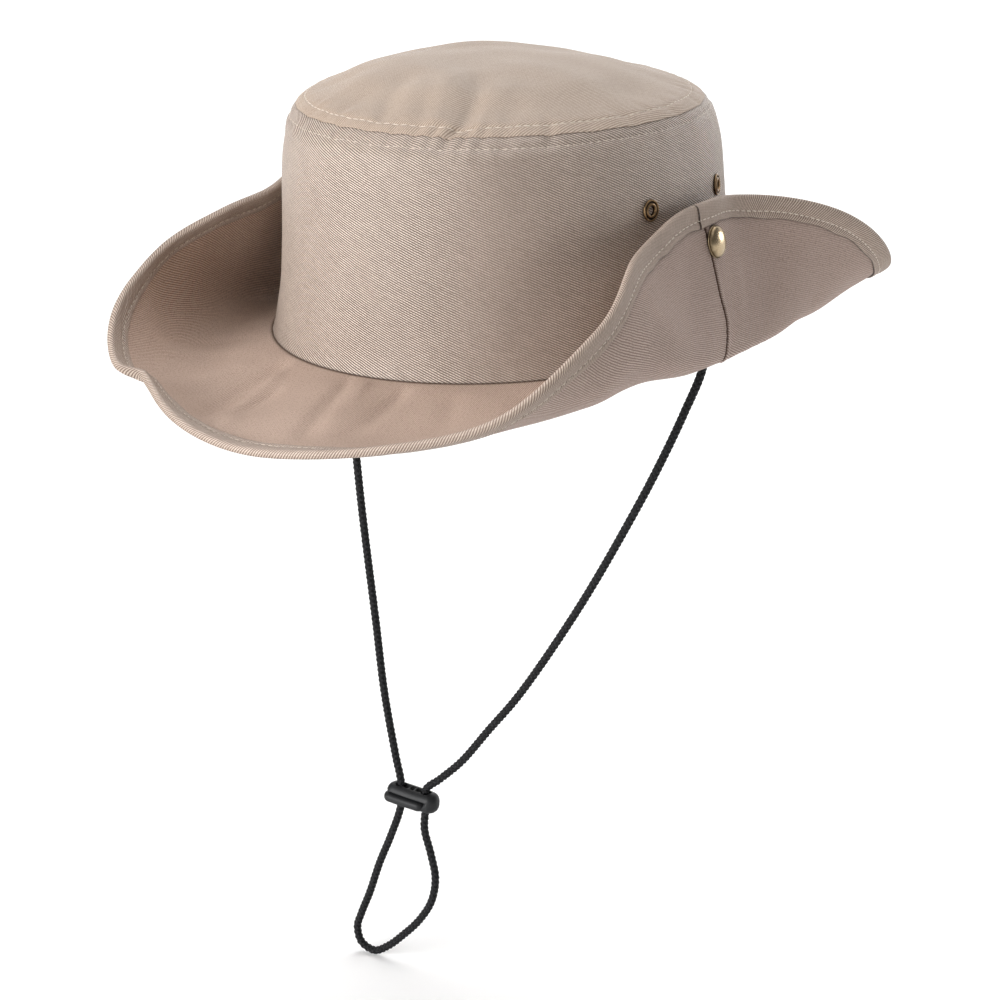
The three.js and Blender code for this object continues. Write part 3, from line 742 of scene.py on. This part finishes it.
# Soft folds of the brim: ring angle at the crown and at the edge, run from and to, width and height.
brimFolds = [(-25, -13.5, 1, 62, 4.5, -1.6), (-31, -24, 12, 60, 5.5, 0.9), (-20.5, -9, 8, 60, 4, 1.1),
             (-14, -10, 18, 62, 2.8, -0.9), (-2.5, 3.5, 1, 55, 3.5, -1.0), (2.5, 3.5, 1, 20, 2.5, 0.7),
             (12.5, 8.5, 1, 48, 4, -0.9), (-47, -42, 6, 48, 5, -1.0), (-38, -36, 14, 50, 4.5, -0.7),
             (24, 22, 6, 40, 5, -0.6), (33, 30, 8, 50, 6, 0.3), (52, 45, 10, 55, 6, -0.4),
             (96.5, 99, 24, 56, 5.5, -0.8), (107, 111, 26, 58, 8, 0.7), (-99, -103, 20, 56, 7, 0.7),
             (124, 128, 30, 60, 6.5, -0.7), (138, 140, 20, 55, 7, 0.6), (158, 154, 5, 60, 6, -1.0),
             (176, 178, 4, 58, 6, 0.8), (-168, -170, 4, 60, 5.5, -0.9), (-148, -150, 6, 58, 6, 0.9),
             (-128, -133, 8, 58, 6, -0.8)]
seamShape = {"angle": 88.0, "groove": 0.34, "depth": 0.8, "roll": 0.35, "frontRoll": 0.12, "pinch": 0.16}
# The side seam's path: distance out from the crown, and degrees back from the seam's own angle.
seamTable = np.array([(0, 0), (13, -1.1), (20, 0.8), (26, 1.65), (36, 0.7), (48, 0.1), (60, -0.6),
                      (73, -1.7)])
patternShape = {"radius": 130, "flare": 1.25, "sweep": 0.82, "rearTurn": -24}


# A column of the table at any ring angle: Catmull-Rom between its rows, mirrored past the front and back.
def brimValue(column, angle):
    last = len(column) - 1
    place = np.abs(ringOffset(angle, 0)) / 15
    first = np.minimum(place.astype(int), last - 1)
    before, start, end, after = (column[last - np.abs(last - np.abs(first + k))] for k in (-1, 0, 1, 2))
    share = place - first
    return start + 0.5 * share * (end - before + share * (
        2 * before - 5 * start + 4 * end - after + share * (3 * (start - end) + after - before)))


# The middle of the cloth: short steps out from the crown's ellipse, each along the tilt that the section
# has there, then drawn in and up at the crease by a bell curve round the ring.
def brimMiddle(angle, distance):
    angle, distance = np.broadcast_arrays(angle, distance)
    slope, turn, bend, spread = (brimValue(brimTable[:, k], angle) for k in range(4))
    stride = distance / brimShape["steps"]
    reach = np.zeros(angle.shape)
    rise = np.full(angle.shape, brimShape["level"])
    for step in range(brimShape["steps"]):
        along = (step + 0.5) * stride
        tilt = np.radians(slope + (turn - slope) * ease(along, bend - spread, bend + spread)) * (along >= 0)
        reach += stride * np.cos(tilt)
        rise += stride * np.sin(tilt)
    offset = ringOffset(angle, creaseShape["at"])
    out = np.clip((distance - creaseShape["from"]) / (brimShape["width"] - creaseShape["from"]), 0, None)
    creased = hump(offset, np.where(offset > 0, creaseShape["frontSide"], creaseShape["flapSide"])) * out ** 2
    halfLength, halfWidth = crownTable[0, 1:]
    sine, cosine = np.sin(np.radians(angle)), np.cos(np.radians(angle))
    outward = unit(pointsOf(halfLength * sine, -halfWidth * cosine, 0))
    middle = pointsOf(halfWidth * sine, -halfLength * cosine, rise + creaseShape["rise"] * creased)
    return middle + outward * (reach + creaseShape["pull"] * creased)[..., None]


# Folds and soft unevenness of the cloth, along the direction out of its underside.
def brimRelief(angle, distance):
    relief = 0
    for crownAngle, edgeAngle, start, end, width, height in brimFolds:
        run = np.clip((distance - start) / (end - start), 0, 1)
        across = ringOffset(angle, crownAngle + (edgeAngle - crownAngle) * run) * (1.65 + distance * 0.0145)
        window = ease(distance, start - 1, start + 8) * (1 - ease(distance, end - 10, end + 6))
        relief = relief - height * hump(across, width * (0.7 + 0.6 * run)) * window
    reach = crownShape["openingRadius"] + distance
    soft = drift(reach * np.sin(np.radians(angle)), reach * np.cos(np.radians(angle)), 46, 21)
    calm = ease(distance, 2, 16) * (1 - 0.75 * hump(ringOffset(np.abs(angle), 90) * 1.7, 14))
    return relief + brimShape["patch"] * soft * calm


# A point of the brim at an offset from its middle, towards the underside where it is positive.
def brimPoint(angle, distance, offset):
    along = brimMiddle(angle + 0.5, distance) - brimMiddle(angle - 0.5, distance)
    out = brimMiddle(angle, distance + 0.5) - brimMiddle(angle, distance - 0.5)
    normal = unit(np.cross(along, out))
    shift = offset + brimRelief(angle, distance)
    return brimMiddle(angle, distance) + normal * shift[..., None]


# The cloth's place when its piece lies flat, which is where its weave is straight. Each piece is part of a
# ring of the piece's own radius and sweep; the rear one is cut at a turn to the front one.
def flatPlace(angle, distance):
    angle, distance = np.broadcast_arrays(angle, distance)
    rear = np.abs(angle) > seamShape["angle"]
    reach = np.where(rear, crownShape["openingRadius"] + distance,
                     patternShape["radius"] + patternShape["flare"] * distance)
    turned = np.radians(np.where(rear, angle + patternShape["rearTurn"], patternShape["sweep"] * angle))
    return pointsOf(reach * np.sin(turned), -reach * np.cos(turned), 0)[..., :2]


# The brim's two plies are one closed wall: out along its underside and back over its top, thinner inside the
# tape. At each side seam the cloth sinks into a groove, rolls up behind it and is pinched by its stitches.
def brimCloth(shape):
    near = np.array([0.06, 0.12, 0.18, 0.25, 0.33, 0.45, 0.6, 0.8, 1.05, 1.4])
    dense = np.concatenate([-near, [0], near])
    even = np.linspace(-180, 180, shape["columns"] + 1)
    base = np.unique(np.concatenate([even, dense + seamShape["angle"], dense - seamShape["angle"]]))[None]
    distances = np.concatenate([[-1.6, -0.8, 0, 0.7, 1.5], np.linspace(2.6, 71.2, shape["rows"])])
    distance = np.concatenate([distances, distances[::-1]])[:, None]
    side = np.repeat([1.0, -1.0], len(distances))[:, None]
    half = shape["half"] - shape["thinner"] * ease(distance, 62.7, 63.9)
    aside = np.abs(base) - seamShape["angle"]
    sway = smoothThrough(np.clip(distance, 0, 72), seamTable)
    angle = base + np.sign(base) * sway * hump(aside, 6.0)
    groove = hump(aside, seamShape["groove"])
    pinch = seamShape["pinch"] * np.sin(distance * 2.2) * hump(aside + 0.9, 0.6)
    roll = seamShape["roll"] * hump(aside - 0.75, 0.55) + seamShape["frontRoll"] * hump(aside + 0.8, 0.5)
    offset = side * (half * (1 - seamShape["depth"] * groove) + roll + pinch)
    points = brimPoint(angle, distance, offset)
    shade = np.clip(groove * 1.3 + 0.8 * hump(distance, 0.75) + 0.45 * hump(distance - 63.0, 0.45), 0, 1)
    worn = np.where(side > 0, ease(np.abs(base), 92, 110), 1 - ease(np.abs(base), 30, 48))
    # The under mark picks the underside ply, which the finish tints greyer and darker as painted shade.
    marks = {"shade": shade, "under": 0.5 + 0.5 * side, "calm": shape["calm"] * worn}
    return skin("brim_cloth", points, brimTwill, flatPlace(base, distance), marks=marks)


# The tape's outer face: its height off the cloth's middle at a distance from its inner edge, up to its nose.
tapeShape = {"depth": 9.2, "nose": 1.65, "inner": 0.82, "edgeWave": 0.3, "gather": 0.13, "lap": 0.5,
             "columns": 1080, "row": 2.9, "joint": 85.1}
tapeTable = np.array([(0, 0.9), (0.3, 1.36), (0.9, 1.56), (2.1, 1.5), (2.9, 1.22), (3.5, 1.46), (4.4, 1.66),
                      (6.2, 1.72), (7.7, 1.65)])


# That height with the gathers beside its stitches, and the end that laps over the other at the joint.
def tapeOffset(angle, across):
    rise = smoothThrough(np.clip(across, 0, 7.6), tapeTable)
    pull = tapeShape["gather"] * ripple(angle + 1.2 * across, 31, 50, 110) * hump(across - 3.9, 2.4)
    joint = ringOffset(angle, tapeShape["joint"] - 0.25 * across / 8)
    return rise + pull + tapeShape["lap"] * ease(joint, -0.08, 0.08) * (1 - ease(joint, 1.5, 9))


# The tape is a U around the edge: out along the underside, round the nose as a half circle, back over the
# top, and inside again along both faces.
def brimBinding(shape):
    start = brimShape["width"] - shape["depth"]
    near = np.array([0.05, 0.1, 0.17, 0.26])
    near = shape["joint"] + np.concatenate([-near, [0], near])
    angle = np.unique(np.concatenate([np.linspace(-180, 180, shape["columns"] + 1), near]))[None]
    across = np.array([0.02, 0.15, 0.35, 0.7, 1.3, 2.0, 2.5, 2.9, 3.3, 3.7, 4.2, 4.9, 5.8, 6.6, 7.2])
    flat = shape["depth"] - shape["nose"]
    bend = np.radians(np.linspace(8, 172, 13))
    run = np.concatenate([across, np.full(len(bend), flat), across[::-1]])[:, None]
    sweep = np.concatenate([0 * across, bend, np.full(len(across), math.pi)])[:, None]
    within = np.array([0.4, 2.5, 5, 7.8])
    inside = np.concatenate([within, within[::-1]])[:, None]
    innerSide = np.repeat([-1.0, 1.0], len(within))[:, None]
    wave = shape["edgeWave"] * ripple(angle, 32, 18, 60)
    outer = start + run + wave * (1 - ease(run, 0.5, 5)) + shape["nose"] * np.sin(sweep)
    distance = np.vstack([outer, start + inside + wave * (1 - ease(inside, 0.5, 5))])
    face = tapeOffset(angle + 0 * run, run + 0 * angle) * np.cos(sweep)
    offset = np.vstack([face, innerSide * shape["inner"] + 0 * angle])
    points = brimPoint(angle + 0 * distance, distance, offset)
    back = np.where(sweep > math.pi - 0.01, 2 * (flat - run), 0)
    wrap = np.vstack([run + shape["nose"] * sweep + back, inside * 0])
    edgeShade = np.vstack([0.98 * hump(run, 0.3), inside * 0 + 0.42])
    shade = np.clip(edgeShade + 1.1 * hump(ringOffset(angle, shape["joint"]) + 0.12, 0.16), 0, 1)
    uv = pointsOf(angle * 2.75, wrap, 0)[..., :2]
    # The under mark picks the tape's underside, which the finish tints darker as painted shade.
    under = np.vstack([1 - ease(sweep, 1.2, 1.9), inside * 0])
    return skin("brim_binding_tape", points, tapeTwill, uv, marks={"shade": shade, "under": under})


settle(brimCloth(brimShape), "brim_twill", "brim")
settle(brimBinding(tapeShape), "bias_tape", "brim_binding")
print("brim made")

# One stitch: a thread whose ends dive into the cloth. It covers a part of its pitch, its middle is lifted and
# its ends are sunk, and each is a little longer or shorter, further on or back, and turned.
stitchShape = {"pitch": 3.6, "cover": 0.8, "radius": 0.2, "lift": 0.14, "sunk": 0.08, "turned": 0.12,
               "sides": 6}
bandStitchShape = {**stitchShape, "pitch": 3.4, "cover": 0.72, "radius": 0.16, "lift": 0.08}
edgeStitchShape = {**stitchShape, "pitch": 2.9, "cover": 0.78, "lift": 0.16}


# A row of stitches along a closed line on a surface. Each is a tapered tube on the chord between two points
# of the line, arched away from the surface; the tubes' points are worked out together.
def stitchRow(name, place, shape, seed):
    line, normal = place(np.linspace(-180, 180, 3601))
    length = runAlong(line)
    count = int(length[-1] / shape["pitch"])
    draw = np.random.default_rng(seed)
    middle = (np.arange(count) + 0.5 + draw.uniform(-0.05, 0.05, count)) * length[-1] / count
    half = shape["pitch"] * shape["cover"] / 2 * draw.uniform(0.88, 1.08, count)
    at = lambda table, where: np.stack([np.interp(where, length, table[:, k]) for k in range(3)], -1)
    start, end, up = at(line, middle - half), at(line, middle + half), unit(at(normal, middle))
    across = unit(np.cross(up, end - start))
    run = np.array([-1.0, -0.85, -0.45, 0.0, 0.45, 0.85, 1.0])[None, :, None]
    girth = shape["radius"] * np.array([0, 0.75, 1, 1.05, 1, 0.75, 0])[None, :, None]
    turn = np.linspace(0, fullTurn, shape["sides"] + 1)[None, None, :-1]
    lean = draw.uniform(-shape["turned"], shape["turned"], count)[:, None, None]
    sideways = girth * np.cos(turn) + lean * run
    height = girth * np.sin(turn) + shape["lift"] * (1 - run ** 2) - shape["sunk"]
    centre = (start + end)[:, None, None] / 2 + run[..., None] * (end - start)[:, None, None] / 2
    points = centre + sideways[..., None] * across[:, None, None] + height[..., None] * up[:, None, None]
    index = np.arange(run.size * shape["sides"]).reshape(run.size, shape["sides"])
    index = np.hstack([index, index[:, :1]])
    index[0], index[-1] = index[0, 0], index[-1, 0]
    firsts = (np.arange(count) * run.size * shape["sides"])[:, None, None]
    corners = (patches(index)[:, ::-1] + firsts).reshape(-1, 4)
    return meshOf(name, points.reshape(-1, 3), corners, sewingThread)


# A line on a surface, with the surface's normal from points a little way along and across it.
def lineOn(pointAt, flip):
    def place(angle):
        along = pointAt(angle + 0.3, 0.0) - pointAt(angle - 0.3, 0.0)
        across = pointAt(angle, 0.4) - pointAt(angle, -0.4)
        return pointAt(angle, 0.0), flip * unit(np.cross(along, across))
    return place


# Each line runs along its stitch row and wavers a little; the step moves it across the row.
def bandLine(angle, step):
    height = crownShape["height"] - crownShape["rowBelow"] - step + 0.12 * ripple(angle, 41, 9, 30)
    return crownPoint(angle, height) + crownNormal(angle, height) * bandRelief(angle, height)[:, None]


def tipLine(angle, step):
    reach = tipInside(angle, 0 * angle)[1]
    share = 1 - (crownShape["rowInside"] - step + 0.15 * ripple(angle, 42, 9, 30)) / reach
    return tipPoint(angle, share, tipRelief(angle, share))


def tapeLine(side):
    def line(angle, step):
        across = tapeShape["row"] + step + 0.12 * ripple(angle, 43, 12, 40) + 0 * angle
        offset = side * tapeOffset(angle, across)
        return brimPoint(angle, brimShape["width"] - tapeShape["depth"] + across, offset)
    return line


for name, line, flip, slot, shape, seed in (
        ("tip_stitches", tipLine, -1, "crown_twill", stitchShape, 51),
        ("band_stitches", bandLine, -1, "crown_twill", bandStitchShape, 52),
        ("binding_stitches_under", tapeLine(1), 1, "bias_tape", edgeStitchShape, 53),
        ("binding_stitches_top", tapeLine(-1), -1, "bias_tape", edgeStitchShape, 54)):
    settle(stitchRow(name, lineOn(line, flip), shape, seed), slot)
print("stitches sewn")


# A turned piece: a profile of radius and height is spun about +Z of a placement. The wear mark is high where
# the profile faces up and out.
def turnedPiece(name, profile, matrix, finish, poles, sides):
    radius, height, wear = np.array(profile, float).T[..., None]
    turn = np.linspace(0, fullTurn, sides + 1)[None]
    local = pointsOf(radius * np.cos(turn), radius * np.sin(turn), height)
    points = local @ np.array(matrix.to_3x3()).T + np.array(matrix.translation)
    return skin(name, points, finish, poles=poles, marks={"wear": wear})


# A placement that sends +Z along a direction at a point.
def placedAlong(point, direction):
    matrix = Vector(direction).to_track_quat("Z", "Y").to_matrix().to_4x4()
    matrix.translation = point
    return matrix


# Rows of a profile, each a radius, a height above a level and a share of wear, moved up to that level.
def above(level, *rows):
    return [(radius, level + height, wear) for radius, height, wear in rows]


snapShape = {"reach": 56.5, "lean": 11, "seat": 0.9, "capRadius": 6.4, "capRise": 2.15, "socketRadius": 4.8,
             "socketDepth": 2.6, "shank": 1.8, "sides": 72}
studShape = {"post": 1.8, "head": 2.1, "flange": 4.2, "thickness": 0.9, "sides": 48}


# The cap's dome is an ellipse that rolls into a thin rim; behind the cloth its shank ends in the socket.
def snapCap(name, point, direction):
    face = brimShape["half"] + 0.15
    cap, socket, shank, rise = (snapShape[key] for key in ("capRadius", "socketRadius", "shank", "capRise"))
    back = -brimShape["half"] - snapShape["seat"]
    mouth = back - snapShape["socketDepth"]
    dome = [(cap * 0.93 * math.cos(s), 0.95 + rise * math.sin(s), 0.35 + 0.65 * math.sin(s))
            for s in np.linspace(0, math.pi / 2, 16)[1:-1]]
    profile = [
        *above(mouth, (0, 1.7, 0), (2.3, 1.7, 0), (2.5, 1.5, 0), (2.5, 0.25, 0.2), (2.75, 0, 0.6),
               (3.6, 0.1, 0.5), (3.9, 0.5, 0.2), (4.3, 0.45, 0.5), (socket, 0.9, 0.6)),
        *above(back, (socket, -0.4, 0.4), (socket - 0.3, 0, 0.3), (shank, 0, 0)),
        *above(face, (shank, 0, 0), (cap - 0.5, 0, 0), (cap - 0.1, 0.15, 0.5), (cap, 0.45, 0.75),
               (cap - 0.12, 0.75, 0.45), (cap * 0.945, 0.85, 0.05), *dome, (0, 0.95 + rise, 1))]
    return turnedPiece(name, profile, placedAlong(point, direction), capBrass, True, snapShape["sides"])


# The stud's two flanges clamp the crown's wall, and its waisted head stands in the socket.
def snapStud(name, seat, direction, depth):
    face = crownShape["cloth"] / 2 + snapShape["seat"]
    back = face + studShape["thickness"]
    tip = depth - brimShape["half"] - snapShape["seat"] - snapShape["socketDepth"] + 1.4
    flange, post, head = studShape["flange"], studShape["post"], studShape["head"]
    profile = [
        *above(-back, (0, 0, 0.6), (flange - 0.6, 0, 0.6), (flange - 0.1, 0.25, 0.8), (flange, 0.5, 0.6)),
        *above(-face, (flange, 0, 0.2), (post, 0, 0)), *above(face, (post, 0, 0), (flange, 0, 0.2)),
        *above(back, (flange, -0.5, 0.6), (flange - 0.1, -0.25, 0.8), (flange - 0.6, 0, 0.6), (post, 0, 0.1)),
        *above(tip, (post - 0.1, -1.3, 0.1), (head, -0.8, 0.8), (head - 0.05, -0.45, 1),
               (post - 0.2, -0.1, 0.8), (post - 0.6, 0, 0.7), (0, 0, 0.7))]
    return turnedPiece(name, profile, placedAlong(seat, direction), eyeletBrass, True, studShape["sides"])


# The axis of a snap, and how far along it the crown's wall lies: the point where the axis meets the middle
# of the wall, found by short steps.
def snapAxis(side):
    point = brimMiddle(np.array([side * 90.0]), np.array([snapShape["reach"]]))[0]
    lean = math.radians(snapShape["lean"])
    direction = np.array([side * math.cos(lean), 0, math.sin(lean)])
    depths = np.arange(0, 12, 0.05)
    along = point - depths[:, None] * direction
    wall = crownPoint(np.full(len(depths), side * 90.0), along[:, 2], crownShape["cloth"] / 2)[:, 0]
    return point, direction, depths[np.argmax(side * along[:, 0] <= side * wall)]


# Rolled eyelets: ring angle of the middle between each pair, half the spread, and height on the wall.
eyeletShape = {"middle": 91, "spread": 16, "height": 55.2, "sides": 56}


# An eyelet's profile: a rolled outer rim, a groove, a raised inner bead, the barrel and the back flange.
def eyeletRing(name, angle):
    face = crownShape["cloth"] / 2 + 0.12
    rear = -crownShape["cloth"] / 2 - 0.45
    profile = [
        (1.75, rear, 0.2),
        *above(face, (1.75, 0.35, 0.3), (1.95, 0.85, 0.8), (2.35, 1.05, 1), (2.75, 0.85, 0.7),
               (2.95, 0.45, 0.1), (3.2, 0.35, 0), (3.4, 0.5, 0.2), (3.6, 0.8, 0.8), (3.9, 0.85, 1),
               (4.15, 0.6, 0.7), (4.25, 0.25, 0.3), (4.1, 0, 0), (2.6, 0, 0)),
        *above(rear, (2.6, 0, 0), (3.75, 0, 0.2), (3.8, -0.4, 0.5), (3.5, -0.75, 0.6), (2.4, -0.7, 0.5),
               (1.85, -0.45, 0.4))]
    angle, height = np.array([float(angle)]), np.array([eyeletShape["height"]])
    point = crownPoint(angle, height, crownShape["cloth"] / 2)[0]
    matrix = placedAlong(point, crownNormal(angle, height)[0])
    return turnedPiece(name, profile, matrix, eyeletBrass, False, eyeletShape["sides"])


sides = (("left", 1), ("right", -1))
for sideName, side in sides:
    point, direction, depth = snapAxis(side)
    cap, stud = f"snap_cap_{sideName}", f"snap_stud_{sideName}"
    settle(snapCap(cap + "_brass", point, direction), "cap_brass", cap)
    settle(snapStud(stud + "_brass", point - depth * direction, direction, depth), "dark_brass", stud)
for sideName, side in sides:
    for endName, step in (("front", -1), ("back", 1)):
        eyelet = f"eyelet_{sideName}_{endName}"
        ringAngle = side * (eyeletShape["middle"] + step * eyeletShape["spread"])
        settle(eyeletRing(eyelet + "_brass", ringAngle), "dark_brass", eyelet)
print("brass fittings made")

# The floor lies just under the cord's loop, in metres. The room is lit by a pale sky and by broad soft suns,
# each with its azimuth round from the front, its height above level, its strength and its width.
studio = {"floorDrop": 0.0015, "floorHalf": 14.0, "floorGlow": 0.09,
          "sky": 0.01, "backdrop": 1.0, "gleam": 0.15,
          "suns": [("keyLeft", -30, 8, 3.2, 40), ("keyMiddle", -15, 8, 2.1, 40), ("keyRight", 0, 8, 0.85, 40),
                   ("rearLeft", -150, 8, 1.1, 45), ("rear", 180, 8, 0.6, 40),
                   ("rearRight", 149, 5, 0.65, 16), ("high", 180, 60, 1.4, 45),
                   ("highLeft", -135, 60, 0.72, 40), ("highRight", 80, 60, 0.45, 40),
                   ("overhead", 0, 90, 0.16, 40), ("front", 0, 30, 0.3, 40)]}


# A sun's lamp points along the line from its azimuth and height to the hat.
def addSun(name, azimuth, elevation, strength, width):
    light = bpy.data.lights.new(name, "SUN")
    light.energy = strength
    light.angle = math.radians(width)
    lamp = bpy.data.objects.new(name, light)
    turn, up = math.radians(azimuth), math.radians(elevation)
    source = Vector((math.sin(turn) * math.cos(up), -math.cos(turn) * math.cos(up), math.sin(up)))
    lamp.rotation_euler = source.to_track_quat("Z", "Y").to_euler()
    scene.collection.objects.link(lamp)


# One square, a little under the lowest point of the CAD box.
def addFloor():
    finish = Finish("paleFloor", Base_Color=(0.95, 0.95, 0.95, 1), Roughness=0.9, Specular_IOR_Level=0.0,
                    Emission_Color=(1, 1, 1, 1), Emission_Strength=studio["floorGlow"])
    reach = studio["floorHalf"] / metres
    level = (cadBox[0][2] - studio["floorDrop"]) / metres
    corners = np.array([(-reach, -reach, level), (reach, -reach, level), (reach, reach, level),
                        (-reach, reach, level)])
    floor = meshOf("floor", corners, np.array([[0, 1, 2, 3]]), finish.material)


# The sky lights cloth faintly, shows in gloss as a grey room, and stands behind the hat as a white backdrop.
def addSky():
    world = bpy.data.worlds.new("sky")
    world.use_nodes = True
    nodes, links = world.node_tree.nodes, world.node_tree.links
    background, paths = nodes["Background"], nodes.new("ShaderNodeLightPath")
    background.inputs["Color"].default_value = (1, 1, 1, 1)
    total = None
    for ray, share in (("Is Camera Ray", "backdrop"), ("Is Glossy Ray", "gleam")):
        glow = nodes.new("ShaderNodeMath")
        glow.operation = "MULTIPLY_ADD"
        links.new(paths.outputs[ray], glow.inputs[0])
        glow.inputs[1].default_value = studio[share]
        glow.inputs[2].default_value = studio["sky"]
        if total:
            links.new(total, glow.inputs[2])
        total = glow.outputs[0]
    links.new(total, background.inputs["Strength"])
    scene.world = world


for sun in studio["suns"]:
    addSun(*sun)
addFloor()
addSky()
scene.view_settings.view_transform = "Standard"
print("studio lit")
